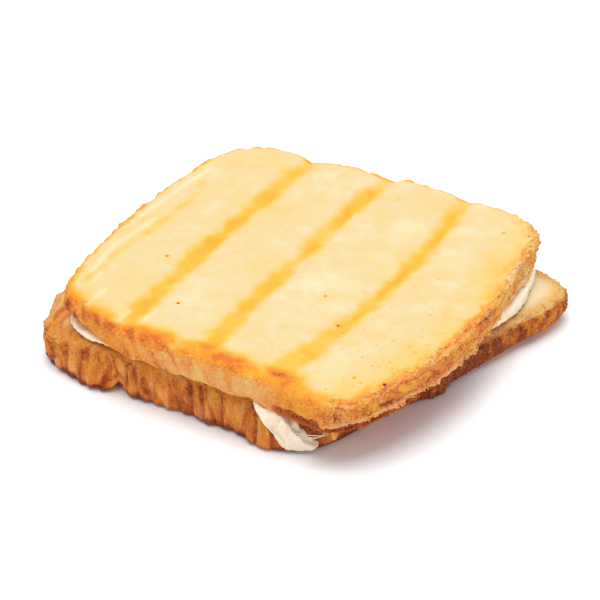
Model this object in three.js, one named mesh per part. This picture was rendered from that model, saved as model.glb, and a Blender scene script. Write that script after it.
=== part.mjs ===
// A filled puff pastry slice: two baked sheets laid on each other, with a soft white cream between them.
// Millimetres, +Z up. The three press marks on the upper sheet run along Y. The -Y side is the thick,
// wrinkled one, and the corner at +X, -Y is the one that droops and lets the cream run out.
import * as THREE from "three";
import { ImprovedNoise } from "three/addons/math/ImprovedNoise.js";

// Heights at the front left, and how much each changes towards the right side
const LOWER_HEIGHT = 14.6;
const LOWER_RIGHT_FALL = 4;
const CREAM_HEIGHT = 1.9;
const CREAM_RIGHT_RISE = 3.2;
const TOP_HEIGHT = 25;
const TOP_RIGHT_FALL = 0.8;
const JOINT_GAP = 0.3;

// Where the heights change, from one X to another
const FALL_ACROSS = [0, 62];
const CREAM_RISE_ACROSS = [20, 58];

// The front right corner sags, more on its underside than on its top, and the base is lifted at the right
const SAG = { across: [12, 42], along: [-57, -26], underside: 4.2, top: 3 };
const BASE_LIFT = { across: [42, 66], height: 2.4 };

// Plans: points anticlockwise from the front left corner, and which of them are the four corners
const DROOPING_SIDE = [[-12, -54.3], [10, -55], [24, -54.5], [33, -51], [38, -43.5], [44.5, -24]];
const LOWER_PLAN = {
  points: [
    [-59, -50.8], [-49.5, -54.2], [-35, -55.3], ...DROOPING_SIDE,
    [54, 0], [61.5, 24], [67, 42], [65.5, 51.5],
    [54, 57.5], [20, 58], [-20, 57], [-46, 56],
    [-57, 46], [-59, 14], [-59.5, -14], [-62.8, -30], [-63.2, -41.5],
  ],
  corners: [0, 6, 12, 17],
};
const CREAM_PLAN = {
  points: [
    [-54, -48.8], [-46.5, -54], [-36, -56], ...DROOPING_SIDE,
    [54, 0], [60, 16], [62, 28], [60.2, 42],
    [56, 53], [46, 57], [0, 56], [-42, 56],
    [-54, 48], [-59, 20], [-61, -10], [-59, -34],
  ],
  corners: [0, 6, 13, 17],
};
const UPPER_PLAN = {
  points: [
    [-54, -45.5], [-35, -55], [0, -57], [30, -57.5],
    [43, -55.5], [51.5, -46.5], [58.5, -27], [60.7, -8], [59.8, 14], [57.5, 33], [55.5, 49], [50.5, 58.5],
    [42, 62.5], [12, 65], [-25, 62.5], [-46, 61.5],
    [-57.5, 52], [-62, 28], [-62, -6], [-58.3, -34],
  ],
  corners: [0, 4, 12, 16],
};

// Press marks: where each crosses the front, the middle and the back, and its share of the width
const MARKS = [
  { front: -27.5, middle: -30.3, back: -29.8, share: 0.27 },
  { front: -0.5, middle: -2.8, back: -3, share: 0.52 },
  { front: 21, middle: 28.5, back: 25, share: 0.78 },
];
const MARK_HALF_WIDTH = 3.2;
const MARK_HALF_SHARE = 0.036;
const MARK_DEPTH = 0.8;
const MARK_BACK_DEPTH = 0.6;
const MARK_FADE = [-57, -40];
const MARK_NOTCH = { along: [50, 56], halfWidth: 4, depth: 0.7 };
const BACK_EDGE = [44, 60];
const SHEET_HALF_LENGTH = 57;
const BAND_PUFF = 0.6;
const BAND_SHOULDER = 13.5;

// The cream's hidden rim, and the tongue that runs down over the drooping corner
const CREAM_RIM = -2.6;
const TONGUE = {
  from: 14.5,
  full: 26.5,
  lifts: [-50, -46],
  ends: [-45, -39],
  thickness: 1.7,
  reach: 5,
  foot: 0.7,
};

// Wrinkles round the lower sheet, where its side is pressed smooth, and where its base edge folds in
const WRINKLE_SPACING = 4.6;
const WRINKLE_DEPTH = 1.2;
const FRONT_SIDE = [-50, -40];
const PRESSED_SMOOTH = { across: [14, 22], along: [-40, -20] };
const FOLD = { x: -30.5, halfWidth: 2.2, depth: 2.4, lift: 3.2 };

// Unevenness of the baked surfaces and of the cream's rim: a wavelength, a height and a seed for each
const WRINKLE_SWAY = { size: 15, height: 0.9, seed: 4.2 };
const BARE_TOP_RELIEF = { size: 6, height: 0.4, seed: 1.7 };
const LOWER_CRUMBS = { size: 3.4, height: 0.45, seed: 6.6 };
const CREAM_WAVES = { size: 5, height: 0.4, seed: 8.8 };
const LONG_SWAY = { size: 31, height: 0.35, seed: 3.1 };
const SHORT_SWAY = { size: 9, height: 0.16, seed: 5.4 };
const PLAIN_CRUMBS = { size: 4.3, height: 0.3, seed: 7.3 };
const RAGGED_CRUMBS = { size: 4.3, height: 0.5, seed: 7.3 };
const TORN_LIP = { size: 6.1, height: 0.6, seed: 2.9 };

// Points on a curve between two points of a plan, where its length is measured
const CURVE_STEPS = 30;

const noise = new ImprovedNoise();

function smooth(from, to, value) {
  return THREE.MathUtils.smoothstep(value, from, to);
}

function falling(from, to, value) {
  return 1 - smooth(from, to, value);
}

function mix(a, b, share) {
  return THREE.MathUtils.lerp(a, b, share);
}

function bell(distance, halfWidth) {
  return Math.exp(-((distance / halfWidth) ** 2));
}

// Unevenness at a place, about as much to either side as its height says
function uneven({ size, height, seed }, x, y) {
  return 1.6 * height * noise.noise(x / size + seed, y / size + 2.3 * seed, 0.37 + seed);
}

// The closed outline of a layer, measured by the share of its length from the front left corner
class Outline {
  constructor({ points, corners }) {
    const vectors = points.map(([x, y]) => new THREE.Vector3(x, y, 0));
    this.curve = new THREE.CatmullRomCurve3(vectors, true, "centripetal");
    this.curve.arcLengthDivisions = points.length * CURVE_STEPS;
    const lengths = this.curve.getLengths();
    this.length = this.curve.getLength();
    this.corners = [...corners.map((index) => lengths[index * CURVE_STEPS] / this.length), 1];
  }

  at(share) {
    return this.curve.getPointAt(THREE.MathUtils.euclideanModulo(share, 1));
  }

  // The point that lies a distance outside the outline, or inside it where that is negative
  offset(share, distance) {
    const along = this.curve.getTangentAt(THREE.MathUtils.euclideanModulo(share, 1));
    return this.at(share).add(new THREE.Vector3(along.y, -along.x, 0).multiplyScalar(distance));
  }

  between(from, to, share) {
    return mix(this.corners[from], this.corners[to], share);
  }
}

// A closed surface made of two grids, above and below, and of rings round the edge between them
class Shell {
  constructor(plan) {
    this.outline = new Outline(plan);
    this.positions = [];
    this.triangles = [];
  }

  vertex(x, y, z) {
    this.positions.push(x, y, z);
    return this.positions.length / 3 - 1;
  }

  // A grid that fills the outline up to an inset, and the ring of its border
  grid(columns, rows, inset, height, facing) {
    const edge = (from, to, share) => this.outline.offset(this.outline.between(from, to, share), -inset);
    const front = columns.map((u) => edge(0, 1, u));
    const right = rows.map((v) => edge(1, 2, v));
    const back = columns.map((u) => edge(3, 2, u));
    const left = rows.map((v) => edge(4, 3, v));
    const lastColumn = columns.length - 1;
    const lastRow = rows.length - 1;
    const ids = columns.map((u, i) => rows.map((v, j) => {
      const [x, y] = ["x", "y"].map((axis) => {
        const frontLine = mix(front[0][axis], front[lastColumn][axis], u);
        const backLine = mix(back[0][axis], back[lastColumn][axis], u);
        const frontToBack = mix(front[i][axis], back[i][axis], v);
        const leftToRight = mix(left[j][axis], right[j][axis], u);
        return frontToBack + leftToRight - mix(frontLine, backLine, v);
      });
      return this.vertex(x, y, height(x, y));
    }));
    for (let i = 0; i < lastColumn; i += 1) {
      for (let j = 0; j < lastRow; j += 1) {
        const quad = [ids[i][j], ids[i + 1][j], ids[i + 1][j + 1], ids[i][j + 1]];
        const [a, b, c, d] = facing > 0 ? quad : quad.reverse();
        this.triangles.push(a, b, c, a, c, d);
      }
    }
    const border = [];
    const add = (index, from, to, share) => {
      border.push({ index, share: this.outline.between(from, to, share) });
    };
    columns.slice(0, -1).forEach((u, i) => add(ids[i][0], 0, 1, u));
    rows.slice(0, -1).forEach((v, j) => add(ids[lastColumn][j], 1, 2, v));
    columns.slice(1).reverse().forEach((u, i) => add(ids[lastColumn - i][lastRow], 2, 3, 1 - u));
    rows.slice(1).reverse().forEach((v, j) => add(ids[0][lastRow - j], 3, 4, 1 - v));
    return border;
  }

  // A ring round the edge, with a number of points for each side, at a distance outside the outline
  ring(counts, distance, height) {
    return counts.flatMap((count, side) => Array.from({ length: count }, (_, i) => {
      const share = this.outline.between(side, side + 1, i / count);
      const foot = this.outline.at(share);
      const p = this.outline.offset(share, distance(foot, share));
      return { index: this.vertex(p.x, p.y, height(p, foot)), share };
    }));
  }

  // Joins two rings, the upper or inner one first, whose points need not be the same number
  join(upper, lower) {
    const shareAt = (ring, i) => ring[i % ring.length].share + Math.floor(i / ring.length);
    let i = 0;
    let j = 0;
    while (i < upper.length || j < lower.length) {
      const a = upper[i % upper.length].index;
      const b = lower[j % lower.length].index;
      const stepsAbove = j === lower.length
        || (i < upper.length && shareAt(upper, i + 1) <= shareAt(lower, j + 1));
      if (stepsAbove) {
        i += 1;
        this.triangles.push(a, b, upper[i % upper.length].index);
      } else {
        j += 1;
        this.triangles.push(a, b, lower[j % lower.length].index);
      }
    }
  }

  geometry(rings) {
    rings.slice(1).forEach((ring, i) => this.join(rings[i], ring));
    const made = new THREE.BufferGeometry();
    made.setAttribute("position", new THREE.Float32BufferAttribute(this.positions, 3));
    made.setIndex(this.triangles);
    made.computeVertexNormals();
    return made;
  }
}

// Evenly spaced shares from 0 to 1
function evenly(count) {
  return Array.from({ length: count + 1 }, (_, i) => i / count);
}

// Shares from 0 to 1 that are closer together in each press mark
function marked(stepsInBand, stepsInMark) {
  const sides = MARKS.flatMap(({ share }) => [share - MARK_HALF_SHARE, share + MARK_HALF_SHARE]);
  const edges = [0, ...sides, 1];
  return [0, ...edges.slice(1).flatMap((to, i) => {
    const steps = i % 2 === 0 ? stepsInBand : stepsInMark;
    return evenly(steps).slice(1).map((share) => mix(edges[i], to, share));
  })];
}

// Heights of the layers above the plate
function cornerSag(x, y) {
  return smooth(...SAG.across, x) * falling(...SAG.along, y);
}

function lowerUnder(x) {
  return BASE_LIFT.height * smooth(...BASE_LIFT.across, x);
}

function lowerTop(x, y) {
  return LOWER_HEIGHT - LOWER_RIGHT_FALL * smooth(...FALL_ACROSS, x) - SAG.underside * cornerSag(x, y);
}

function creamUnder(x, y) {
  return lowerTop(x, y) + JOINT_GAP;
}

function creamTop(x, y) {
  return creamUnder(x, y) + CREAM_HEIGHT + CREAM_RIGHT_RISE * smooth(...CREAM_RISE_ACROSS, x);
}

function upperUnder(x, y) {
  return creamTop(x, y) + JOINT_GAP;
}

// The upper face: puffed bands between pressed marks, which fade at the front and are deepest at the back
function upperTop(x, y) {
  const t = y / SHEET_HALF_LENGTH;
  const distances = MARKS.map(({ front, middle, back }) => {
    const centre = middle + 0.5 * (back - front) * t + (0.5 * (back + front) - middle) * t * t;
    return Math.abs(x - centre);
  });
  const distance = Math.min(...distances);
  const press = (MARK_DEPTH + MARK_BACK_DEPTH * smooth(...BACK_EDGE, y)) * smooth(...MARK_FADE, y);
  const band = Math.sin(0.5 * Math.PI * Math.min(distance / BAND_SHOULDER, 1));
  const sway = uneven(LONG_SWAY, x, y) + uneven(SHORT_SWAY, x, y);
  const plain = TOP_HEIGHT - TOP_RIGHT_FALL * smooth(...FALL_ACROSS, x) - SAG.top * cornerSag(x, y);
  return plain + BAND_PUFF * band - press * bell(distance, MARK_HALF_WIDTH) + sway;
}

// The lower sheet: an even block with a wrinkled front, a folded base edge and a thin right corner
function makeLower() {
  const shell = new Shell(LOWER_PLAN);
  const wrinkles = Math.round(shell.outline.length / WRINKLE_SPACING);
  const atFront = (p) => falling(...FRONT_SIDE, p.y);
  const rough = (p) => 1 - smooth(...PRESSED_SMOOTH.across, p.x) * falling(...PRESSED_SMOOTH.along, p.y);
  const folded = (p) => atFront(p) * bell(p.x - FOLD.x, FOLD.halfWidth);
  const wrinkle = (p, share, down) => {
    const sway = uneven(WRINKLE_SWAY, p.x, p.y + 9 * down);
    const rib = Math.abs(Math.sin(Math.PI * wrinkles * share + sway));
    const onSides = mix(mix(0.6, 0.3, smooth(20, 50, p.x)), 1, atFront(p));
    return WRINKLE_DEPTH * onSides * rough(p) * smooth(0, 0.3, down) * (Math.sqrt(rib) - 0.7);
  };
  const crumbs = (p, down) => rough(p) * uneven(LOWER_CRUMBS, p.x + 40 * down, p.y - 25 * down);

  const topRing = shell.grid(evenly(22), evenly(18), 3, (x, y) => {
    const bare = Math.min(1, smooth(52, 58, x) + falling(-62, -56, x));
    return lowerTop(x, y) + bare * uneven(BARE_TOP_RELIEF, x, y);
  }, 1);
  // Each ring: the share of the side's height that lies above it, and its inset from the outline
  const profile = [[0.05, 1.5], [0.16, 0.5], [0.34, 0.1], [0.55, 0], [0.75, 0.2], [0.9, 0.5], [1, 1.3]];
  const sideRings = profile.map(([down, inset]) => shell.ring(
    [110, 50, 35, 45],
    (foot, share) => wrinkle(foot, share, down) + crumbs(foot, down) - inset
      - FOLD.depth * folded(foot) * smooth(0.4, 1, down),
    (p, foot) => mix(lowerTop(p.x, p.y), lowerUnder(p.x) + FOLD.lift * folded(foot), down),
  ));
  const baseRing = shell.grid(evenly(12), evenly(10), 7, lowerUnder, -1);
  return shell.geometry([topRing, ...sideRings, baseRing]);
}

// The cream: a thin layer that is pressed out at two edges and runs down the drooping corner as a tongue
function makeCream() {
  const shell = new Shell(CREAM_PLAN);
  const inTongue = (p) => smooth(TONGUE.from - 3, TONGUE.from + 2, p.x) * falling(...TONGUE.ends, p.y);
  const run = (p) => THREE.MathUtils.clamp((p.x - TONGUE.from) / (TONGUE.full - TONGUE.from), 0, 1)
    * falling(...TONGUE.lifts, p.y);
  const waves = (p) => (1 - inTongue(p)) * uneven(CREAM_WAVES, p.x, p.y);
  const reach = (p) => CREAM_RIM + TONGUE.reach * inTongue(p) + waves(p);

  const topRing = shell.grid(evenly(16), evenly(12), 6, creamTop, 1);
  // Each ring: its inset as plain edge and in the tongue, its share of the layer's height and of the tongue's
  const profile = [
    [1, 1, 0.95, 0], [0.2, 0.2, 0.7, 0], [0, 0, 0.45, 0.3], [0.1, 0.1, 0.2, 0.75], [0.5, 0.6, 0.05, 1],
    [1, TONGUE.thickness, 0, 0.9], [1.6, TONGUE.thickness, 0, 0],
  ];
  const edgeRings = profile.map(([plainInset, tongueInset, up, hanging]) => shell.ring(
    [56, 40, 15, 15],
    (foot) => reach(foot) - mix(plainInset, tongueInset, inTongue(foot)),
    (p, foot) => {
      const under = creamUnder(p.x, p.y);
      return mix(under, creamTop(p.x, p.y), up) - (under - TONGUE.foot) * run(foot) * hanging;
    },
  ));
  const baseRing = shell.grid(evenly(16), evenly(12), 6, creamUnder, -1);
  return shell.geometry([topRing, ...edgeRings, baseRing]);
}

// The upper sheet: the marked face, a rounded rim, a slanted front side and a ragged lip on the right
function makeUpper() {
  const shell = new Shell(UPPER_PLAN);
  const ragged = (p) => smooth(30, 50, p.x);
  const atFront = (p) => falling(-52, -42, p.y) * falling(20, 44, p.x);
  const crumbs = (p, down) => {
    const place = [p.x + 31 * down, p.y - 27 * down];
    return mix(uneven(PLAIN_CRUMBS, ...place), uneven(RAGGED_CRUMBS, ...place), ragged(p));
  };
  const notch = (p) => MARK_NOTCH.depth * smooth(...MARK_NOTCH.along, p.y)
    * Math.max(...MARKS.map(({ back }) => bell(p.x - back, MARK_NOTCH.halfWidth)));

  const topRing = shell.grid(marked(7, 4), evenly(27), 3.4, upperTop, 1);
  // Each ring: the share of the side above it, its inset, the front's slant and the ragged lip's reach
  const profile = [
    [0.07, 1.6, 0.8, 0], [0.2, 0.6, 0.7, 0.2], [0.4, 0.1, 0.6, -0.3], [0.6, 0, 0.4, -0.6],
    [0.82, 0.2, 0.1, 0.5], [0.96, 0.4, 0, 1], [1, 1.4, 0, 0.4],
  ];
  const sideRings = profile.map(([down, inset, slant, lip]) => shell.ring(
    [60, 55, 40, 45],
    (foot) => {
      const torn = lip * ragged(foot) * (0.5 + uneven(TORN_LIP, foot.x, foot.y));
      return crumbs(foot, down) + torn - inset - slant * atFront(foot) - notch(foot);
    },
    (p) => mix(upperTop(p.x, p.y), upperUnder(p.x, p.y), down),
  ));
  const underRing = shell.grid(evenly(18), evenly(14), 7, upperUnder, -1);
  return shell.geometry([topRing, ...sideRings, underRing]);
}

// A layer with the colour and gloss of its own baked or fresh surface
function layer(name, geometry, color, roughness) {
  const baked = new THREE.MeshStandardMaterial({ color, roughness, metalness: 0 });
  const made = new THREE.Mesh(geometry, baked);
  made.name = name;
  return made;
}

const slice = new THREE.Group();
slice.add(layer("lower_pastry", makeLower(), 0xc98a45, 0.75));
slice.add(layer("cream_filling", makeCream(), 0xf3ead2, 0.5));
slice.add(layer("upper_pastry", makeUpper(), 0xf2cf8a, 0.6));

// The origin is under the middle of the slice, at the height of the plate
const box = new THREE.Box3().setFromObject(slice);
slice.position.set(-(box.min.x + box.max.x) / 2, -(box.min.y + box.max.y) / 2, -box.min.z);

export default slice;
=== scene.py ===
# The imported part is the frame: its solids give each layer of the slice its place, size and main form
import math
import random

import bmesh
import bpy
from mathutils import Euler, Matrix, Vector, kdtree, noise


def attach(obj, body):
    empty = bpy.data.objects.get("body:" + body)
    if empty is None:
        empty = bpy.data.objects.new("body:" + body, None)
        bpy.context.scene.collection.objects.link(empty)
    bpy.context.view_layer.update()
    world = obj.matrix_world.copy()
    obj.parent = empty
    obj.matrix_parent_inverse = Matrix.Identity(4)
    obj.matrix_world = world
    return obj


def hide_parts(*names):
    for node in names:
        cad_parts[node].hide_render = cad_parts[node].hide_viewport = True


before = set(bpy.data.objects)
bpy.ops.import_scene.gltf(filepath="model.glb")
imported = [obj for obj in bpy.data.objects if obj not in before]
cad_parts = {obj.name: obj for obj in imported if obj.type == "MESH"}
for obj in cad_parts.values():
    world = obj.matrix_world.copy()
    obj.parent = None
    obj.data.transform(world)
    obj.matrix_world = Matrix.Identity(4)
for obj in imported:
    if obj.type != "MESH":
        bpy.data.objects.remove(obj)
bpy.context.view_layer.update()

MM = 0.001
# Without a seed of its own, noise_vector() starts from the clock and gives other shapes each run
noise.seed_set(2)


# The view
# The slice is looked at past its front left side, 32 degrees above the plate, through a long lens from
# seven tenths of a metre away, so that its sides hardly converge.
AZIMUTH = math.radians(30)
ELEVATION = math.radians(32)
LOOKED_AT = Vector((-1.66, -3.83, 13)) * MM
DISTANCE = 0.72
LENS = 142.6

towards_camera = Vector((
    math.sin(AZIMUTH) * math.cos(ELEVATION),
    -math.cos(AZIMUTH) * math.cos(ELEVATION),
    math.sin(ELEVATION),
))
camera = bpy.data.objects.new("camera", bpy.data.cameras.new("camera"))
camera.location = LOOKED_AT + DISTANCE * towards_camera
camera.rotation_euler = towards_camera.to_track_quat("Z", "Y").to_euler()
camera.data.lens = LENS
camera.data.clip_start = 0.05
bpy.context.scene.collection.objects.link(camera)
bpy.context.scene.camera = camera


# Studio floor and light
# A white sweep lies under the slice. A large soft box hangs over it, and two small ones and the white room
# fill the sides, so that the shadow is short and soft, and widest under the overhang at the right.
FLOOR_HALF_SIZE = 3.0
FLOOR_WHITE = (0.925, 0.935, 0.945, 1)
ROOM_LIGHT = 0.5
ROOM_TINT = (0.93, 0.965, 1, 1)
SOFT_BOX_PLACE = Vector((-0.08, 0.04, 1.0))
SOFT_BOX_SIZE = 1.1
SOFT_BOX_WATTS = 13.0
FRONT_BOX_PLACE = Vector((-0.3, -0.9, 0.4))
FRONT_BOX_SIZE = 0.7
FRONT_BOX_WATTS = 1.2
RIGHT_BOX_PLACE = Vector((0.85, -0.35, 0.33))
RIGHT_BOX_SIZE = 0.6
RIGHT_BOX_WATTS = 2.0


def piece_from(shape, name):
    """The finished shape as a piece of its own in the scene."""
    piece = bpy.data.objects.new(name, bpy.data.meshes.new(name))
    shape.to_mesh(piece.data)
    shape.free()
    bpy.context.scene.collection.objects.link(piece)
    return piece


sweep = bmesh.new()
bmesh.ops.create_grid(sweep, x_segments=1, y_segments=1, size=FLOOR_HALF_SIZE)
floor = piece_from(sweep, "studio_floor")

floor_paper = bpy.data.materials.new("white_paper")
floor_paper.use_nodes = True
paper = floor_paper.node_tree.nodes["Principled BSDF"]
paper.inputs["Base Color"].default_value = FLOOR_WHITE
paper.inputs["Roughness"].default_value = 0.9
paper.inputs["Specular IOR Level"].default_value = 0.1
floor.data.materials.append(floor_paper)

room = bpy.data.worlds.new("white_room")
room.use_nodes = True
room.node_tree.nodes["Background"].inputs["Color"].default_value = ROOM_TINT
room.node_tree.nodes["Background"].inputs["Strength"].default_value = ROOM_LIGHT
bpy.context.scene.world = room
bpy.context.scene.view_settings.view_transform = "Standard"


def soft_box(name, place, size, watts):
    """A square soft light that faces the slice."""
    light = bpy.data.objects.new(name, bpy.data.lights.new(name, "AREA"))
    light.data.size = size
    light.data.energy = watts
    light.location = place
    light.rotation_euler = (place - LOOKED_AT).to_track_quat("Z", "Y").to_euler()
    bpy.context.scene.collection.objects.link(light)


soft_box("key_soft_box", SOFT_BOX_PLACE, SOFT_BOX_SIZE, SOFT_BOX_WATTS)
soft_box("front_soft_box", FRONT_BOX_PLACE, FRONT_BOX_SIZE, FRONT_BOX_WATTS)
soft_box("right_soft_box", RIGHT_BOX_PLACE, RIGHT_BOX_SIZE, RIGHT_BOX_WATTS)


# Lower sheet
# The slab of puff pastry that lies on the tray in the oven. It is cut out with a knife, so its sides have no
# skin: they shrink into upright wrinkles as they bake, crumble at the right, and scorch along the tray.
# Lengths and places from here on are in mm, and x, y, z is a place on the slice
BURNT_EDGE = 1.5
WRINKLE_LEAN = 0.14
RIGHT_BULGE = 2.6
LEFT_LOBE_BULGE = 2
FRONT_CORNER_BULGE = 2.8
# The left corner: its middle, how far it reaches, how far its upper edge sinks, and the tip that puffed up
LEFT_CORNER = (-61, -48)
LEFT_CORNER_REACH = 14
CORNER_DROOP = 2.2
PUFFED_TIP = Vector((-63, -40, 13))
PUFFED_TIP_REACH = 7
PUFFED_TIP_MOVE = Vector((-1.9, 0.3, 2.2))
# The deepest folds of the front side, as lines from x, z to x, z
FRONT_FOLDS = [
    ((-35.8, 14.5), (-34.4, 9)), ((-34.4, 9), (-36, 3.5)), ((-36, 3.5), (-38.5, 1)), ((-3.4, 12), (-2.6, 3)),
    ((3.4, 11), (4.2, 2)),
]
# Scorched places at the left corner, and two dark places beside the tongue of cream that are painted shade of
# the gap there: where, and how wide
SCORCHES_AND_SHADE = [
    (-60.8, -36.8, 13.2, 2.9), (-61, -54.5, 1.5, 3.2), (-56, -57.5, 1, 2.2), (-46, -58.5, 0.8, 2),
    (30, -56.5, 9, 3.2), (33.8, -55, 5.8, 3.6),
]


def smooth(start, end, value):
    """0 on start's side, 1 beyond end, and an even rise between them."""
    share = min(max((value - start) / (end - start), 0.0), 1.0)
    return share * share * (3 - 2 * share)


def bell(distance, half_width):
    """1 at no distance, a third at the half width, and next to nothing at twice that."""
    return math.exp(-((distance / half_width) ** 2))


def nearness_to_line(x, y, start, end, half_width):
    """1 on a straight line from start to end, and less beside it."""
    along = Vector(end) - Vector(start)
    share = min(max((Vector((x, y)) - Vector(start)).dot(along) / along.length_squared, 0), 1)
    nearest = Vector(start) + share * along
    return bell((Vector((x, y)) - nearest).length, half_width)


def waves(place, size, seed, squeeze=(1, 1, 1)):
    """Noise, about -1 to 1, with waves of that size, longer along an axis with a squeeze under 1."""
    at = Vector([c * s / size for c, s in zip(place, squeeze)])
    return 1.5 * noise.noise(at + Vector((seed, -seed, 0.5 * seed)))


def creases(place, size, seed, squeeze=(1, 1, 1)):
    """Thin lines, 1 in their middle and 0 between them, about a size apart."""
    return (1 - min(abs(2.2 * waves(place, size, seed, squeeze)), 1)) ** 2


def grains(place, size, seed):
    """Crumbs of that size, 1 on their crown and 0 in the cracks between them."""
    near, next_near = noise.voronoi(place / size + Vector((seed, seed, -seed)))[0][:2]
    return min(2.2 * (next_near - near), 1)


def uprightness(normal):
    """1 on an upright side, and 0 on a face that is nearly level."""
    return 1 - smooth(0.45, 0.85, abs(normal.z))


# What each point of baked dough keeps: how brown, painted darker in places as shade, how floury, painted
# paler in places as highlight, how crusty and how full of pores it is
BAKED_TONES = ("bake_and_shade", "flour_and_highlight", "crust", "pores")
MERGE_DISTANCE = 0.001 * MM
FLAT_ENOUGH = math.radians(50)
ROUNDING_LEVELS = 2
RIM_NORMAL = 0.35


def skin_of(node, name):
    """A layer's solid as a smooth, fine skin of small squares, in a piece of its own."""
    form = bmesh.new()
    form.from_mesh(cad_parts[node].data)
    bmesh.ops.remove_doubles(form, verts=form.verts, dist=MERGE_DISTANCE)
    bmesh.ops.join_triangles(
        form, faces=form.faces, angle_face_threshold=FLAT_ENOUGH, angle_shape_threshold=FLAT_ENOUGH
    )
    coarse = bpy.data.meshes.new(name + "_form")
    form.to_mesh(coarse)
    form.free()
    piece = bpy.data.objects.new(name, coarse)
    bpy.context.scene.collection.objects.link(piece)
    rounding = piece.modifiers.new("rounding", "SUBSURF")
    rounding.levels = ROUNDING_LEVELS
    rounding.render_levels = ROUNDING_LEVELS
    depsgraph = bpy.context.evaluated_depsgraph_get()
    piece.data = bpy.data.meshes.new_from_object(piece.evaluated_get(depsgraph))
    piece.data.materials.clear()
    piece.modifiers.clear()
    bpy.data.meshes.remove(coarse)
    return piece


def carve(piece, is_crust, surface, tones):
    """Halves the squares of the crust, then moves each point and keeps its tones, as surface() says."""
    skin = bmesh.new()
    skin.from_mesh(piece.data)
    crust = [face for face in skin.faces if is_crust(face.calc_center_median() / MM, face.normal)]
    edges = list(dict.fromkeys(edge for face in crust for edge in face.edges))
    bmesh.ops.subdivide_edges(skin, edges=edges, cuts=1, use_grid_fill=True)
    skin.normal_update()
    side_points = [vertex.co for vertex in skin.verts if abs(vertex.normal.z) < RIM_NORMAL]
    rim = kdtree.KDTree(len(side_points))
    for number, point in enumerate(side_points):
        rim.insert((point.x, point.y, 0), number)
    rim.balance()
    layers = [skin.verts.layers.float.new(tone) for tone in tones]
    moves = []
    for vertex in skin.verts:
        inset = rim.find((vertex.co.x, vertex.co.y, 0))[2]
        move, values = surface(vertex.co / MM, vertex.normal, inset / MM)
        moves.append(move * MM)
        for layer, value in zip(layers, values):
            vertex[layer] = value
    for vertex, move in zip(skin.verts, moves):
        vertex.co += move
        vertex.co.z = max(vertex.co.z, 0)
    for face in skin.faces:
        face.smooth = True
    skin.to_mesh(piece.data)
    skin.free()


def colour(red, green, blue):
    """A colour as a screen shows it, 0 to 255, turned into the light it sends back."""
    parts = [c / 255 for c in (red, green, blue)]
    return tuple(c / 12.92 if c < 0.04045 else ((c + 0.055) / 1.055) ** 2.4 for c in parts) + (1,)


# How pastry browns, from raw flour to charcoal
BROWNING = [
    (0.00, colour(220, 206, 175)),
    (0.12, colour(217, 187, 138)),
    (0.24, colour(222, 179, 100)),
    (0.36, colour(226, 167, 57)),
    (0.48, colour(229, 151, 38)),
    (0.60, colour(230, 138, 38)),
    (0.72, colour(212, 113, 35)),
    (0.82, colour(178, 84, 29)),
    (0.91, colour(132, 55, 25)),
    (1.00, colour(72, 34, 24)),
]
# The white of flour, which also paints the highlights
FLOUR_AND_HIGHLIGHT_WHITE = colour(236, 211, 175)
# Sizes of the patterns in the baked dough, and how dark its pores and how strong its grain are
BROAD_PATCHES = 7
SMALL_PATCHES = 1.1
SHINE_PATCHES = 2.3
CRUMB_GRAIN = 0.5
PORE_SPACING = 2.6
PORE_DARKNESS = 0.2
GRAIN_CONTRAST = 0.5


class Finish:
    """A material in the making. Its patterns lie on the piece's own coordinates, with sizes in mm."""

    def __init__(self, name):
        self.material = bpy.data.materials.new(name)
        self.material.use_nodes = True
        self.nodes = self.material.node_tree.nodes
        self.link = self.material.node_tree.links.new
        self.shader = self.nodes["Principled BSDF"]
        self.place = self.nodes.new("ShaderNodeTexCoord").outputs["Object"]

    def give(self, socket, value):
        """Sets a socket to a fixed value, or links it to another node's result."""
        if isinstance(value, bpy.types.NodeSocket):
            self.link(value, socket)
        else:
            socket.default_value = value

    def shade(self, **values):
        """Sets the shader's sockets, named with underscores for spaces."""
        for name, value in values.items():
            self.give(self.shader.inputs[name.replace("_", " ")], value)

    def patches(self, size, detail, roughness=0.5):
        pattern = self.nodes.new("ShaderNodeTexNoise")
        pattern.inputs["Scale"].default_value = 1 / (size * MM)
        pattern.inputs["Detail"].default_value = detail
        pattern.inputs["Roughness"].default_value = roughness
        self.link(self.place, pattern.inputs["Vector"])
        return pattern.outputs["Fac"]

    def dots(self, spacing, inner, outer, strength):
        """Scattered dots of that strength, which fade from their inner to their outer radius."""
        cells = self.nodes.new("ShaderNodeTexVoronoi")
        cells.inputs["Scale"].default_value = 1 / (spacing * MM)
        self.link(self.place, cells.inputs["Vector"])
        dot = self.nodes.new("ShaderNodeMapRange")
        dot.inputs["From Min"].default_value = inner
        dot.inputs["From Max"].default_value = outer
        dot.inputs["To Min"].default_value = strength
        dot.inputs["To Max"].default_value = 0
        self.link(cells.outputs["Distance"], dot.inputs["Value"])
        return dot.outputs["Result"]

    def tone(self, name):
        point_tone = self.nodes.new("ShaderNodeAttribute")
        point_tone.attribute_name = name
        return point_tone.outputs["Fac"]

    def number(self, operation, first, second):
        result = self.nodes.new("ShaderNodeMath")
        result.operation = operation
        self.give(result.inputs[0], first)
        self.give(result.inputs[1], second)
        return result.outputs["Value"]

    def mixed(self, share, first, second):
        """The first colour, turned into the second by that share."""
        mix = self.nodes.new("ShaderNodeMix")
        mix.data_type = "RGBA"
        self.give(mix.inputs["Factor"], share)
        self.give(mix.inputs["A"], first)
        self.give(mix.inputs["B"], second)
        return mix.outputs["Result"]

    def raise_by(self, height, depth):
        """Gives the surface a fine relief of that depth."""
        relief = self.nodes.new("ShaderNodeBump")
        relief.inputs["Distance"].default_value = depth * MM
        self.link(height, relief.inputs["Height"])
        self.link(relief.outputs["Normal"], self.shader.inputs["Normal"])


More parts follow.
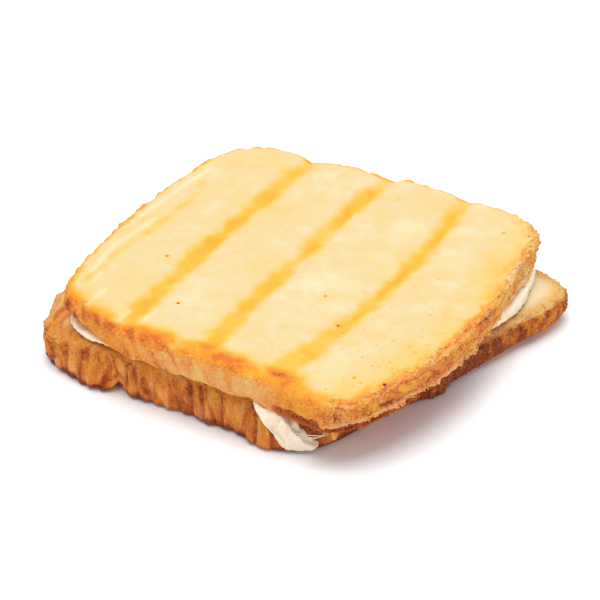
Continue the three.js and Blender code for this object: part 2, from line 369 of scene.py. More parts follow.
def baked_finish(name, mottle, grain_depth, redness):
    """Baked dough: its browning comes from the point tones, mottled, with pores and fine crumbs as bumps. The
    raised crumbs are painted paler and the cracks darker, as painted highlight and shade.
    """
    dough = Finish(name)
    number = dough.number
    broad = number("MULTIPLY", number("SUBTRACT", dough.patches(BROAD_PATCHES, 3, 0.55), 0.5), mottle)
    small = number("SUBTRACT", dough.patches(SMALL_PATCHES, 4, 0.65), 0.5)
    small = number("MULTIPLY", small, 0.9 * mottle)
    crusty = number("MULTIPLY", number("ADD", dough.tone("crust"), 0.35), small)
    browning_and_shade = number("ADD", number("ADD", dough.tone("bake_and_shade"), broad), number("MULTIPLY", crusty, 1.6))
    pore = number("MULTIPLY", dough.dots(PORE_SPACING, 0.05, 0.17, 1), dough.tone("pores"))
    crumb = dough.patches(CRUMB_GRAIN, 4, 0.7)
    raised = number("MULTIPLY", number("SUBTRACT", crumb, 0.5), number("ADD", dough.tone("crust"), 0.06))
    darkened = number("ADD", browning_and_shade, number("MULTIPLY", pore, PORE_DARKNESS))

    scale = dough.nodes.new("ShaderNodeValToRGB")
    scale.color_ramp.elements.remove(scale.color_ramp.elements[1])
    for position, (red, green, blue, solid) in BROWNING:
        stop = scale.color_ramp.elements.new(position) if position else scale.color_ramp.elements[0]
        stop.position = position
        stop.color = (red * redness, green, blue, solid)
    # The raised grains are painted paler and the cracks between them darker: painted highlight and painted
    # shade over the crumb's own mottled tone
    dough.give(scale.inputs["Fac"], number("SUBTRACT", darkened, number("MULTIPLY", raised, GRAIN_CONTRAST)))
    dust_and_grain_highlight = number("ADD", dough.tone("flour_and_highlight"), number("MULTIPLY", raised, 0.6))
    dough.shade(
        Base_Color=dough.mixed(dust_and_grain_highlight, scale.outputs["Color"], FLOUR_AND_HIGHLIGHT_WHITE),
        Roughness=number("ADD", 0.52, number("MULTIPLY", dough.patches(SHINE_PATCHES, 2, 0.55), 0.3)),
        Specular_IOR_Level=0.2,
        Subsurface_Weight=0.12,
        Subsurface_Radius=(1.0, 0.5, 0.2),
        Subsurface_Scale=1.2 * MM,
    )
    crumbs = number("MULTIPLY", crumb, number("ADD", dough.tone("crust"), 0.22))
    dough.raise_by(number("SUBTRACT", crumbs, number("MULTIPLY", pore, 0.8)), grain_depth)
    return dough.material


def lower_is_crust(place, normal):
    """The sides at the front and the right, and the ledge of the left corner."""
    ledge = normal.z > 0 and place.x < -44 and place.y < -30
    return ledge or abs(normal.z) < 0.8 and (place.y < -30 or place.x > 35) and place.z > 0.3


def flaked(inset, place, width, seed):
    """Edges of thin flakes that overlap along the rim, 1 at a flake's raised edge, falling behind it."""
    across = (inset + 1.3 * waves(place, 6, seed) + 0.5 * waves(place, 1.7, seed + 2)) / width
    return (1 - across % 1) ** 2


def crumbly(place, seed):
    """Relief of torn, baked crumb, about -1 to 1, from coarse lumps to fine grains."""
    lumps = waves(place, 3.1, seed)
    coarse = grains(place, 1.25, seed + 1) - 0.6
    fine = grains(place, 0.7, seed + 2) - 0.6
    return 0.55 * lumps + 0.6 * coarse + 0.35 * fine


def lower_surface(place, normal, inset):
    """How far a point of the lower sheet moves, and its tones."""
    x, y, z = place
    # Which part of the sheet this is, each from 0 to 1
    side = uprightness(normal)
    above = normal.z > 0
    front = smooth(-38, -52, y) * smooth(44, 30, x)
    right = smooth(36, 50, x)
    left_corner = bell(math.hypot(x - LEFT_CORNER[0], y - LEFT_CORNER[1]), LEFT_CORNER_REACH)
    near_rim = smooth(7 + 2 * waves(place, 6, 3.1), 2, inset)
    granular = max(right, 0.2)

    # The wrinkles, crumbs and layers that meet here
    leaning = Vector((x + WRINKLE_LEAN * z, y, z))
    wrinkle = creases(leaning, 5.2, 3.7, (1, 1, 0.2)) * (1 - 0.6 * left_corner)
    fold = creases(leaning, 2.3, 8.1, (1, 1, 0.3))
    streak = waves(leaning, 1.6, 1.3, (1, 1, 0.3))
    pleat = waves(leaning, 3.4, 2.9, (1, 1, 0.16)) * (1 - 0.5 * right)
    deep = max(nearness_to_line(x, z, start, end, 0.8) for start, end in FRONT_FOLDS) * front * side
    lump = waves(place, 3.6, 2.6)
    crumb = crumbly(place, 2.4)
    layer = waves(place, 2.4, 4.4, (0.25, 0.25, 1))
    swirled = place + 3.5 * noise.noise_vector(place / 7)
    swirl = creases(swirled, 4.4, 1.9, (1, 0.7, 1.4)) * left_corner
    swirl_crest = max(waves(swirled, 3.6, 4.7, (1, 0.7, 1.4)), 0) * left_corner

    # How far they stand out or sink in
    height = side * (-0.6 * wrinkle * (1 - 0.6 * right) - 0.2 * fold + 0.14 * streak + 0.22 * lump)
    height += side * (0.4 * pleat + granular * 0.55 * crumb + (1 - front) * 0.2 * layer) - 0.9 * deep
    height += (1 - side) * max(near_rim, 0.6 * right) * 0.4 * crumb * above
    height += left_corner * 0.5 * waves(place, 5.5, 5.7) - 0.9 * swirl + 0.5 * swirl_crest
    height += (1 - side) * (0.14 * waves(place, 4, 6.2) + above * left_corner * (0.4 * crumb + 0.4 * lump))
    height += RIGHT_BULGE * bell(y + 12, 5.5) * right * side * smooth(13, 7, z)
    height += 0.4 * front * side * smooth(6, 1, z) * smooth(-34, -28, x)

    # How brown the side, the top and the underside are, partly with painted shade and painted highlight, with
    # the scorched edge over them
    # On the side: darker in the wrinkles and deep folds, paler on the pleats and streaks. This is partly the
    # crust's own browning, partly painted shade in the creases and painted highlight on the crests
    on_side = 0.61 + 0.12 * wrinkle + 0.05 * fold - 0.12 * pleat - 0.06 * streak - 0.05 * lump + 0.16 * deep
    on_side += 0.05 * smooth(10, 2, z) + 0.05 * waves(place, 9, 7.5) - 0.18 * granular * crumb
    # At the right the side is browner, and it is painted darker low down and towards the front, where it lies
    # under the upper sheet's overhang: partly crust, partly painted shade
    on_side += right * (0.2 - 0.17 * smooth(8, 13, z) - 0.18 * smooth(12, 26, y)) - 0.05 * left_corner
    on_side = min(on_side, 0.84 + 0.04 * right)
    on_top = 0.14 - 0.07 * right + 0.05 * waves(place, 6, 2.2) - 0.06 * right * (lump + crumb)
    # The rim is browned. The top at the right and the front strip, which lie under the upper sheet's edge,
    # are painted browner still: painted shade over the baked tone. The left ledge is browned dough
    on_top += (0.14 + 0.12 * right) * near_rim * (1 - 0.8 * crumb) + 0.35 * right * smooth(24, 14, y)
    browned_ledge_and_shaded_rim = max(smooth(-14, -26, x) * smooth(20, -10, y), smooth(-46, -53, y) * smooth(50, 30, x))
    on_top = min(on_top + (0.36 - 0.22 * lump - 0.12 * crumb) * browned_ledge_and_shaded_rim, 0.6)
    beneath = 0.6 + 0.12 * near_rim + 0.08 * waves(place, 8, 9.1)
    # The swirled creases of the left corner are painted darker and their crests paler: painted shade and
    # painted highlight
    bake_and_shade = side * on_side + (1 - side) * (on_top if above else beneath) + 0.2 * swirl - 0.18 * swirl_crest
    edge_height = BURNT_EDGE + 1.6 * waves(place, 6, 5.5, (1, 1, 0)) + 1.2 * left_corner
    burnt_and_shaded = smooth(edge_height + 1.4, edge_height - 1, z) * smooth(9, 2, inset)
    # The scorched edge and places darken the dough. The two places beside the tongue are painted shade
    for spot_x, spot_y, spot_z, width in SCORCHES_AND_SHADE:
        from_spot = (place - Vector((spot_x, spot_y, spot_z))).length
        burnt_and_shaded = max(burnt_and_shaded, bell(from_spot + 0.6 * lump, width))
    bake_and_shade += burnt_and_shaded * (0.9 - bake_and_shade)

    # How crusty, and how floury, with crests and crumbs painted paler: partly flour, partly painted highlight
    crust = max(side * (0.5 + 0.5 * right), near_rim if above else 0)
    dust_and_crest_highlight = max(right * (2 * crumb - 1), left_corner * crumb, front * (streak + pleat), 3 * swirl_crest, 0)
    flour_and_highlight = 0.14 * dust_and_crest_highlight * (1 - burnt_and_shaded)
    flour_and_highlight += (1 - side) * above * (0.46 * right * (1 - 0.5 * near_rim) + 0.06 * left_corner)

    # The whole corners and sides that sink, puff up or swell
    move = normal * height
    move.z -= CORNER_DROOP * left_corner * smooth(7, 0, inset) * smooth(9, 14, z)
    move += bell((place - PUFFED_TIP).length, PUFFED_TIP_REACH) * PUFFED_TIP_MOVE
    bulge = LEFT_LOBE_BULGE * bell(x + 41, 7) + FRONT_CORNER_BULGE * bell(x - 20, 9)
    move.y -= bulge * smooth(11, 2, z) * smooth(8, 0, inset) * smooth(-38, -50, y)
    return move, (bake_and_shade, flour_and_highlight, crust, 0.5)


lower_sheet = skin_of("lower_pastry", "lower_sheet")
carve(lower_sheet, lower_is_crust, lower_surface, BAKED_TONES)
well_baked_dough = baked_finish("well_baked_dough", mottle=0.15, grain_depth=0.5, redness=0.95)
lower_sheet.data.materials.append(well_baked_dough)
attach(lower_sheet, "root")
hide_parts("lower_pastry")


# Cream filling
# Soft white cream cheese, spread on the lower sheet and pressed by the upper one. It shows as a sliver at the
# left and the right, and a tongue of it has run out and down over the drooping corner.
CREAM_WHITE = colour(243, 232, 214)
CREAM_SHADE = colour(234, 208, 173)
CREAM_SPECK = colour(200, 184, 152)
CREAM_PATCHES = 2.6
SPECK_SPACING = 1.5
FLUFF_SIZE = 0.8
FLUFF_DEPTH = 0.14
# The tongue is torn off along a slanting line in x and z, and its left edge is squeezed in along another
TEAR_LINE = 36
TEAR_SLOPE = 0.89
TEAR_DEPTH = 4.8
LEFT_EDGE_FOOT = 16.5
LEFT_EDGE_LINE = 14.8
LEFT_EDGE_SLOPE = 0.72
# The folds of the tongue, as lines from x, z to x, z
CREAM_FOLDS = [((24.2, 13.4), (22.2, 7.6)), ((27.6, 11.6), (26.2, 7.4)), ((21, 9), (25, 4.5))]


def cream_is_fine(place, normal):
    """The tongue, which shows at close range."""
    return place.y < -40 and place.x > 8


def cream_surface(place, normal, inset):
    """How far a point of the cream moves. It keeps no tones."""
    x, y, z = place
    tongue = smooth(-50, -54, y) * smooth(10, 14, x)
    smear = waves(place, 3.2, 2.2, (0.6, 0.6, 0.35))
    height = 0.22 * smear + 0.12 * waves(place, 1.4, 5.1) - 0.3 * creases(place, 2.8, 8.4, (1, 1, 0.3))
    for start, end in CREAM_FOLDS:
        height -= 0.8 * tongue * nearness_to_line(x, z, start, end, 0.7)
    past_tear = x + TEAR_SLOPE * z - TEAR_LINE + 0.6 * waves(place, 1.8, 3.3)
    torn_away = tongue * smooth(-0.4, 0.8, past_tear)
    inwards = Vector((-0.62, 0.78, 0))
    left_edge = LEFT_EDGE_LINE + LEFT_EDGE_SLOPE * (LEFT_EDGE_FOOT - z) + 0.5 * waves(place, 2.5, 6.4)
    squeezed = 0.85 * max(left_edge - x, 0) * tongue
    return normal * height + TEAR_DEPTH * torn_away * inwards + Vector((squeezed, 0, 0)), ()


def cream_finish():
    """Moist cream: off-white in soft patches, with faint specks, a satin shine and light inside it."""
    cream = Finish("soft_cream")
    patchy = cream.mixed(cream.patches(CREAM_PATCHES, 3), CREAM_SHADE, CREAM_WHITE)
    cream.shade(
        Base_Color=cream.mixed(cream.dots(SPECK_SPACING, 0.06, 0.2, 0.4), patchy, CREAM_SPECK),
        Roughness=0.42,
        Specular_IOR_Level=0.4,
        Subsurface_Weight=0.25,
        Subsurface_Radius=(1.0, 0.85, 0.6),
        Subsurface_Scale=1.5 * MM,
    )
    cream.raise_by(cream.patches(FLUFF_SIZE, 4), FLUFF_DEPTH)
    return cream.material


cream_layer = skin_of("cream_filling", "cream_layer")
carve(cream_layer, cream_is_fine, cream_surface, ())
soft_cream = cream_finish()
cream_layer.data.materials.append(soft_cream)
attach(cream_layer, "root")
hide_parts("cream_filling")


# Cream strands
# Threads of the same cream, drawn out between the tongue and the lip of the upper sheet as the cream tore.
# Each one is a row of points with its thickness at both ends.
STRAND_SIDES = 8
STRAND_OVERLAP = 1.08
STRANDS = [
    ([(28.2, -58.5, 7.6), (31.6, -59, 8.5), (35.2, -59.4, 9.8), (38.4, -59.3, 10.8), (40, -58.9, 12.5)],
     0.36, 0.14),
    ([(28.7, -58.2, 6.9), (31.8, -58.8, 7.6), (35, -59.4, 8.9), (37.4, -59.3, 10.2), (38.8, -58.8, 12.5)],
     0.42, 0.14),
    ([(28.9, -58.1, 6.4), (32, -58.9, 6.9), (34.4, -59.3, 8.1), (36.2, -59.35, 9.55)], 0.22, 0.16),
]

threads = bmesh.new()
for points, thick_end, thin_end in STRANDS:
    corners = [Vector(point) * MM for point in points]
    steps = len(corners) - 1
    radii = [0.5 * MM * (thick_end + (thin_end - thick_end) * step / steps) for step in range(steps + 1)]
    for start, end, first_radius, last_radius in zip(corners, corners[1:], radii, radii[1:]):
        along = end - start
        turned = along.to_track_quat("Z", "Y").to_matrix().to_4x4()
        bmesh.ops.create_cone(
            threads, cap_ends=True, segments=STRAND_SIDES, radius1=first_radius, radius2=last_radius,
            depth=along.length * STRAND_OVERLAP, matrix=Matrix.Translation((start + end) / 2) @ turned
        )
for face in threads.faces:
    face.smooth = True
cream_strands = piece_from(threads, "cream_strands")
cream_strands.data.materials.append(soft_cream)
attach(cream_strands, "root")


# Upper sheet
# The sheet that baked on top and was pressed in a ridged grill: pale puffed bands between three shallow
# golden marks, a browned ridge and a slanted tan side at the front, and a crumbly brown crust at the right.
# The press marks: the x of each one at the front, the middle and the back of the sheet
MARK_LINES = [(-29.2, -32.0, -31.5), (-2.2, -4.5, -4.7), (19.3, 26.8, 23.3)]
MARK_HALF_WIDTH = 2.9
SHEET_MIDDLE = -3.8
SHEET_HALF_LENGTH = 57
# The lower edge of the sheet hangs down, less so at the left corner, and is a ragged lip at the right
UPPER_UNDERSIDE = 17.1
LIP_DROOP = 1.7
LEFT_LIP_LIFT = 3
LIP_HEIGHT = 17.3
# Brown spots along the front ridge and at the right edge: where, how wide and how brown
BROWN_SPOTS = [
    (-40.9, -56, 2.6, 0.14), (-34.4, -56.4, 2.2, 0.18), (-23.4, -57, 3.2, 0.26), (-16.9, -56.6, 2.2, 0.2),
    (-6.3, -56.8, 2.6, 0.18), (-2.2, -55, 2.2, 0.24), (4.3, -56.6, 2.8, 0.28), (10, -56.6, 2.6, 0.24),
    (20.4, -55.2, 2.3, 0.26), (25, -54.8, 2.6, 0.28), (58.5, 24.5, 4.5, 0.2), (60, 11, 5, 0.2),
]
# Streaks along the left of the top, as bent lines through x, y: one golden, the others floury
GOLDEN_STREAK = [(-51.9, -43.4), (-52.7, -36), (-53, -25.7), (-51.4, -11.5), (-51.1, 14.5), (-53.2, 23.7)]
DRY_STREAKS = [
    [(-53.5, -38), (-54.5, -33), (-56, -24), (-54.8, -11), (-54, -2)],
    [(-60, -12), (-58.2, 6), (-57.6, 21), (-56, 33)],
    [(-50.1, -44.3), (-50.6, -37.8)], [(-44.7, -53), (-44.3, -45)], [(-32.1, -56), (-32.5, -50)],
    [(-25.7, -53.6), (-25.9, -46)],
]
# Burst bubbles in the top: where, and how dark
PINHOLES = [
    (-39.1, -19.2, 0.9), (-21.9, -40.1, 1.3), (13.5, -15.2, 0.8), (23.7, -25.7, 0.8), (40.4, -46.4, 0.5),
    (49.2, -44.9, 1.0), (42.7, 44.6, 0.7), (44.7, -8.5, 0.3), (37.6, 10.7, 0.25), (4.9, 46.4, 0.2),
]
PINHOLE_SIZE = 0.46
# Burnt knobs on the left corner: where, and how wide
BURNT_KNOBS = [(-51.5, -52.4, 21.6, 1.9), (-48, -54.2, 20.5, 1.2)]


def mark_at(x, y):
    """How near the middle of the nearest press mark a place is, from 0 to 1."""
    t = (y - SHEET_MIDDLE) / SHEET_HALF_LENGTH
    nearness = 0
    for number, (front, middle, back) in enumerate(MARK_LINES):
        centre = middle + 0.5 * (back - front) * t + (0.5 * (back + front) - middle) * t * t
        along = Vector((7.3 * number, y, 0))
        half_width = MARK_HALF_WIDTH * (1 + 0.35 * waves(along, 12, 3.3) + 0.15 * waves(along, 4, 1.3))
        half_width *= 1 - 0.3 * smooth(34, 54, y)
        strength = (1 + 0.3 * waves(along, 10, 6.7)) * smooth(66, 46, y)
        beside = abs(x - centre + 0.8 * waves((x, y, 0), 4, 1.6) + 0.4 * waves((x, y, 0), 1.8, 4.6))
        nearness = max(nearness, strength * smooth(half_width + 1.8, half_width - 2.4, beside))
    return nearness


def on_streak(x, y, corners, half_width):
    """1 on a bent line through the corners, and less beside it."""
    return max(nearness_to_line(x, y, start, end, half_width) for start, end in zip(corners, corners[1:]))


def lip_height_at(y):
    """The height of the ragged lip at the right, which sinks towards the drooping corner."""
    return LIP_HEIGHT - 3.4 * (max(0, -36 - y) / 25) ** 2


def upper_is_crust(place, normal):
    """The ridge and the side at the front, the crust at the right, and the places of the pinholes."""
    rounded = abs(normal.z) < 0.93
    by_pinhole = normal.z > 0 and any(math.hypot(place.x - x, place.y - y) < 1.3 for x, y, depth in PINHOLES)
    return by_pinhole or rounded and (place.y < -38 or place.x > 40) or (place.x > 46 and normal.z > 0)


def upper_surface(place, normal, inset):
    """How far a point of the upper sheet moves, and its tones."""
    x, y, z = place
    # Which part of the sheet this is, each from 0 to 1
    side = uprightness(normal)
    above = smooth(0.1, 0.6, normal.z)
    below = smooth(0.1, 0.6, -normal.z)
    ragged = smooth(28, 44, x)
    front = smooth(-44, -54, y) * (1 - ragged)
    leftness = smooth(40, -45, x)
    rim_width = 4.8 + 1.8 * waves(place, 7, 4.4) + 1.8 * waves(place, 2.4, 6.9)
    right_rim = ragged * smooth(rim_width, 0.4, inset)
    rim = smooth(3.6, 1.2, inset + 0.8 * waves(place, 4, 6.6))

    # The crumbs, flakes and blisters that meet here
    mark = mark_at(x, y) * above * smooth(-60, -50, y)
    crumb = crumbly(place, 1.8)
    flake = flaked(inset, place, 2.3, 3.2)
    crack = creases(place, 3.4, 2.9, (1, 0.2, 1)) ** 2 * right_rim
    diagonal = Vector((x + 0.8 * z, y, z - 0.8 * x))
    streak = waves(diagonal, 2.2, 6.1, (1, 1, 0.15))
    blister = waves(place, 3.4, 9.2)
    patch = waves(place, 7, 1.4)
    layers = waves(place, 2.4, 5.8, (1, 0.14, 1)) * ragged

    # The browned ridge along the front, the ragged lip at the right, and the torn place beside the cream
    ridge_inset = 1.4 + 3.6 * smooth(-40, 28, x) + 1.2 * waves(place, 7, 7.7)
    from_ridge = inset + 0.8 * waves(place, 2.6, 5.3)
    near_ridge = above * front * smooth(ridge_inset + 7, ridge_inset, from_ridge)
    over_ridge = front * smooth(ridge_inset + 2.4, ridge_inset - 2.4, from_ridge)
    ridge = above * front * bell(inset - ridge_inset, 2.4)
    lip_height = lip_height_at(y) + 0.5 * waves(place, 4, 2.1)
    on_lip = side * ragged * bell(z - lip_height - 0.5, 0.5)
    shaded_under_lip = ragged * smooth(lip_height + 0.3, lip_height - 0.4, z) * smooth(20, 6, y)
    torn_height = 16.3 - 0.3 * max(x - 31, 0) + 0.7 * waves(place, 3, 4.9)
    torn = smooth(21, 24, x) * smooth(48, 42, x) * smooth(-50, -54, y)
    torn *= smooth(torn_height + 0.6, torn_height - 0.6, z)

    # How far all this stands out or sinks in
    height = above * (0.07 * waves(place, 5, 1.1) + 0.03 * waves(place, 1.8, 2.2))
    height += 0.25 * ridge * blister + 0.12 * ridge * crumb
    height += side * (1 - ragged) * (0.12 * streak + 0.3 * crumb)
    height += right_rim * (0.3 * crumb + 0.45 * flake + 0.3 * layers - 0.2 - 0.4 * crack)
    height += rim * (1 - below) * (1 - front) * (1 - ragged) * (0.35 * crumb + 0.55 * blister)
    height += on_lip * (0.5 + 0.5 * waves(place, 1.6, 7.1)) - 0.9 * shaded_under_lip * side
    height -= torn * side * (0.9 - 0.5 * crumb)
    height += below * 0.1 * waves(place, 4, 6.2)
    height += ragged * smooth(6, 2, inset) * (1 - below) * (0.9 * bell(y - 50, 5) - 1.2 * bell(y - 37, 7))
    height -= 1.8 * ragged * side * bell(y - 48, 6) * smooth(20.5, 17.5, z)

    # How brown the top, the side and the underside are, then the ridge, the right crust, the painted shade
    # under the lip and in the torn place, and burnt knobs
    on_top = 0.13 + 0.03 * waves(place, 22, 4.8) + 0.025 * patch + 0.02 * waves(place, 2.5, 3.4) + 0.25 * mark
    on_top += (0.3 + 0.12 * waves(place, 9, 5.2)) * rim * (1 - front) * (1 - ragged)
    on_top += 0.08 * smooth(16, 4, inset) * ragged + 0.13 * near_ridge * (1 + patch)
    golden = on_streak(x, y, GOLDEN_STREAK, 1.5) if x < -40 else 0
    on_top += 0.15 * golden * (0.7 + 0.5 * blister)
    on_side = 0.45 + 0.15 * leftness - 0.09 * streak + 0.08 * blister - 0.06 * patch - 0.14 * crumb
    on_side += 0.1 * smooth(UPPER_UNDERSIDE + 2, UPPER_UNDERSIDE, z) * leftness + 0.12 * smooth(16, 28, x)
    beneath = 0.5 + 0.07 * waves(place, 8, 9.1)
    around = side * on_side + (1 - side) * (above * on_top + (1 - above) * beneath)
    bake_and_shade = around + over_ridge * max(above, side) * (on_side - around)
    bake_and_shade += ridge * (0.1 * waves(place, 3.2, 3.8) + 0.12 * waves(place, 8, 2.4) - 0.09)
    for spot_x, spot_y, width, depth in BROWN_SPOTS:
        stretched = math.hypot(0.7 * (x - spot_x), y - spot_y) + 0.9 * blister
        bake_and_shade += depth * max(above, side) * smooth(20.5, 23.5, z) * bell(stretched, width)
    bake_and_shade = min(bake_and_shade, 0.75)
    crusted = 0.66 - 0.12 * crumb + 0.12 * crack + 0.08 * waves(place, 5, 8.3) - 0.16 * flake - 0.08 * above
    crusted -= 0.14 * layers
    crusted -= 0.06 * smooth(-48, -22, y) + 0.12 * smooth(0, 25, y)
    bake_and_shade += right_rim * (crusted - bake_and_shade)
    # Under the ragged lip and in the torn place beside the cream the side turns dark brown: partly browned
    # dough, partly painted shade of the overhang and the recess
    bake_and_shade += max(shaded_under_lip * (1 - above), torn) * (0.82 - bake_and_shade)
    for knob_x, knob_y, knob_z, width in BURNT_KNOBS:
        near = bell((place - Vector((knob_x, knob_y, knob_z))).length + 0.4 * blister, width)
        bake_and_shade += near * (0.98 - bake_and_shade)
        height += near

    # How floury: dry streaks and pale patches on top, tan bands on the side, dust on the rims, and a painted
    # highlight along the lower edge of the front side
    flour_and_highlight = max(on_streak(x + 0.4 * blister, y, corners, 0.9) for corners in DRY_STREAKS) if x < -20 else 0
    flour_and_highlight = above * flour_and_highlight * (0.45 + 0.35 * waves(place, 3, 3.9, (1, 0.3, 1)))
    pale_patch = smooth(0.1, 0.7, waves(place, 9, 2.7)) * smooth(-20, 20, x) * smooth(4, 8, inset)
    flour_and_highlight += above * (1 - mark) * 0.2 * pale_patch
    tan = 0.02 + 0.23 * smooth(-40, 8, x) + 0.1 * streak + 0.14 * crumb
    flour_and_highlight += side * (1 - ragged) * smooth(24, 21, z) * max(tan, 0) * smooth(30, 14, x) * (1 - torn)
    # A pale line along the lower edge of the front side: partly the pale flaky dough, partly a painted
    # highlight
    front_lip_highlight = side * smooth(18, 10, x) * smooth(UPPER_UNDERSIDE + 1.2, UPPER_UNDERSIDE + 0.2, z)
    front_lip_highlight *= smooth(-0.2, 0.4, waves(place, 4, 5.9))
    floury_rim = 0.05 + 0.05 * above + 0.06 * smooth(0, 25, y) + 0.3 * max(crumb, 0)
    flour_and_highlight += 0.35 * on_lip + 0.25 * front_lip_highlight + right_rim * floury_rim * (1 - shaded_under_lip)
    for hole_x, hole_y, depth in PINHOLES:
        near = bell(math.hypot(x - hole_x, y - hole_y), PINHOLE_SIZE) * above * depth
        height -= 0.4 * near
        bake_and_shade += 1.1 * near

    # The lower edge hangs down, and the left corner is pushed out a little
    move = normal * height
    lip = smooth(3.4, 0.6, z - (UPPER_UNDERSIDE - 3 * ragged)) * smooth(2.6, 0.2, inset)
    lifted = LEFT_LIP_LIFT * smooth(-29, -45, x) * smooth(-36, -46, y)
    droop = (LIP_DROOP - lifted) * lip * smooth(16, 8, x)
    move.z -= droop * (1 + 0.3 * waves(place, 5, 8.8))
    move.x -= 1.1 * bell(math.hypot(x + 54, y + 53), 6)
    crust = max(right_rim, 0.9 * side, 0.7 * ridge)
    pores = above * (1 - 0.4 * right_rim) * (0.2 + 0.6 * smooth(-10, 40, x) * smooth(30, -30, y))
    return move, (bake_and_shade, min(max(flour_and_highlight, 0), 1), crust, pores)


upper_sheet = skin_of("upper_pastry", "upper_sheet")
carve(upper_sheet, upper_is_crust, upper_surface, BAKED_TONES)
golden_dough = baked_finish("golden_dough", mottle=0.13, grain_depth=0.35, redness=1)
upper_sheet.data.materials.append(golden_dough)
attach(upper_sheet, "root")
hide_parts("upper_pastry")


# Crumbs
# Bits of torn, baked dough that stick to the crumbly rims of both sheets. Most sit at the right, where the
# sheets were torn, and a few along the other rims.
CRUMB_RADII = (0.2, 0.6)
LOWER_CRUMB_COUNT = 420
UPPER_CRUMB_COUNT = 620
CRUSTY_ENOUGH = 0.6


def crumbs_on(sheet, name, count, seed, chance_of):
    """Crumbs in one mesh, each half sunk into a point of the sheet's crust, where chance_of() favours it."""
    luck = random.Random(seed)
    skin = sheet.data
    crust = skin.attributes["crust"].data
    tones = [skin.attributes[tone].data for tone in BAKED_TONES]
    spots = []
    while len(spots) < count:
        point = luck.choice(skin.vertices)
        crusty = crust[point.index].value > CRUSTY_ENOUGH
        if crusty and luck.random() < chance_of(point.co / MM, point.normal):
            spots.append(point)
    heap = bmesh.new()
    layers = [heap.verts.layers.float.new(tone) for tone in BAKED_TONES]
    for spot in spots:
        radius = luck.uniform(*CRUMB_RADII) * MM
        turned = Euler([luck.uniform(0, math.tau) for axis in range(3)]).to_matrix().to_4x4()
        flattened = Matrix.Diagonal((1, luck.uniform(0.6, 1), luck.uniform(0.45, 0.8), 1))
        place = Matrix.Translation(spot.co)
        crumb = bmesh.ops.create_icosphere(
            heap, subdivisions=1, radius=radius, matrix=place @ turned @ flattened
        )["verts"]
        bake_and_shade, flour_and_highlight, crusted, pores = [tone[spot.index].value for tone in tones]
        bake_and_shade = max(bake_and_shade, 0.5) + luck.uniform(-0.06, 0.12)
        flour_and_highlight += luck.uniform(0, 0.1)
        for vertex in crumb:
            vertex.co += 0.3 * radius * noise.noise_vector(vertex.co / (0.7 * radius))
            for layer, value in zip(layers, (bake_and_shade, flour_and_highlight, crusted, 0)):
                vertex[layer] = value
    for face in heap.faces:
        face.smooth = True
    crumbs = piece_from(heap, name)
    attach(crumbs, "root")
    return crumbs


def on_lower_rim(place, normal):
    """The chance of a crumb on the lower sheet: high at the right, and none along the foot or beneath."""
    rightness = smooth(34, 50, place.x)
    return (0.06 + 0.94 * rightness) * smooth(5, 9, place.z) * (normal.z > -0.2)


def on_upper_rim(place, normal):
    """The chance of a crumb on the upper sheet: high at the right, and none beneath."""
    rightness = smooth(30, 46, place.x)
    return (0.05 + 0.95 * rightness) * (normal.z > -0.2)


lower_crumbs = crumbs_on(lower_sheet, "lower_crumbs", LOWER_CRUMB_COUNT, 5, on_lower_rim)
lower_crumbs.data.materials.append(well_baked_dough)

upper_crumbs = crumbs_on(upper_sheet, "upper_crumbs", UPPER_CRUMB_COUNT, 8, on_upper_rim)
upper_crumbs.data.materials.append(golden_dough)


# Flakes
# Papery layers of dough that have split off along the lip at the right and stand out from it, a little
# curled. One larger flake hangs from the drooping corner, beside the cream.
FLAKE_THICKNESS = 0.16
FLAKE_LENGTHS = (0.9, 2.6)
FLAKE_WIDTHS = (0.5, 1.2)
FLAKE_TILTS = (5, 65)
FLAKE_COUNT = 60
FLAKE_ROOT_DEPTH = 0.2
# The larger flake: its root, where it points, its length, width, tilt and the seed of its ragged edge
HANGING_FLAKE = (Vector((41.6, -59.5, 13.2)), Vector((0.3, -0.5, 0)), 2.0, 2.3, math.radians(66), 4)

flakes = bmesh.new()
flake_tones = [flakes.verts.layers.float.new(tone) for tone in BAKED_TONES]


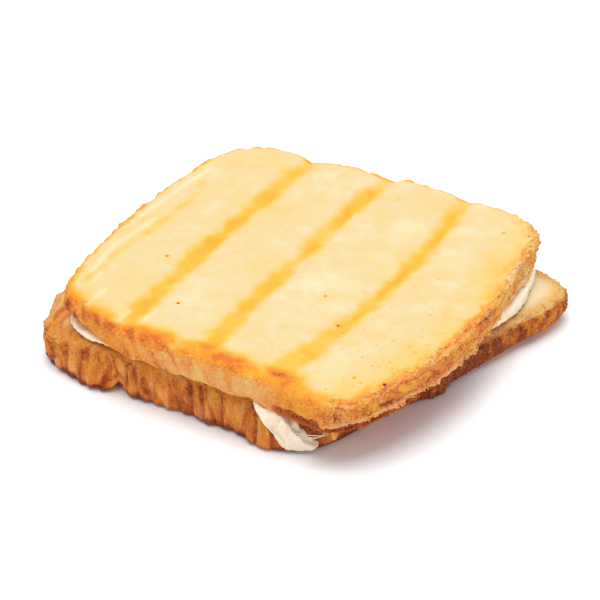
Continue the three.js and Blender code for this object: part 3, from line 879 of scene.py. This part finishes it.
def add_flake(root, outwards, length, width, tilt, seed):
    """A thin curled plate in mm, fixed at its root and sloping down and outwards by the tilt."""
    out = outwards.normalized()
    slope = math.cos(tilt) * out - math.sin(tilt) * Vector((0, 0, 1))
    rim = Vector((0, 0, 1)).cross(out)
    turned = Matrix((rim, slope, rim.cross(slope))).transposed().to_4x4()
    plate = bmesh.ops.create_grid(flakes, x_segments=4, y_segments=2, size=0.5)["verts"]
    for vertex in plate:
        along, across = vertex.co.x, vertex.co.y + 0.5
        jag = 1 + 0.5 * noise.noise(Vector((3 * along, seed, 0))) * across
        curl = 0.25 * across * across + 0.3 * noise.noise(Vector((2 * along, 2 * across, seed)))
        vertex.co = Vector((along * length * (1 - 0.4 * across), across * width * jag, curl * width))
        for layer, value in zip(flake_tones, (0.62 - 0.06 * across, 0.06 + 0.2 * across, 1, 0)):
            vertex[layer] = value
    faces = list(dict.fromkeys(face for vertex in plate for face in vertex.link_faces))
    solid = bmesh.ops.solidify(flakes, geom=faces, thickness=FLAKE_THICKNESS)["geom"]
    points = dict.fromkeys([*plate, *(part for part in solid if isinstance(part, bmesh.types.BMVert))])
    move = Matrix.Scale(MM, 4) @ Matrix.Translation(root - FLAKE_ROOT_DEPTH * out) @ turned
    bmesh.ops.transform(flakes, matrix=move, verts=list(points))


# The points of the upper sheet's ragged lip, from the drooping corner to the middle of the right side
flake_luck = random.Random(21)
lip_points = [
    point for point in upper_sheet.data.vertices
    if point.co.x > 38 * MM and abs(point.co.z / MM - lip_height_at(point.co.y / MM) - 0.5) < 0.6
    and abs(point.normal.z) < 0.7 and point.co.y < 6 * MM
]
for point in flake_luck.sample(lip_points, FLAKE_COUNT):
    level = Vector((point.normal.x, point.normal.y, 0))
    add_flake(
        point.co / MM, level, flake_luck.uniform(*FLAKE_LENGTHS), flake_luck.uniform(*FLAKE_WIDTHS),
        math.radians(flake_luck.uniform(*FLAKE_TILTS)), point.index
    )
add_flake(*HANGING_FLAKE)
bmesh.ops.recalc_face_normals(flakes, faces=flakes.faces)
for face in flakes.faces:
    face.smooth = True
lip_flakes = piece_from(flakes, "lip_flakes")
lip_flakes.data.materials.append(golden_dough)
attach(lip_flakes, "root")
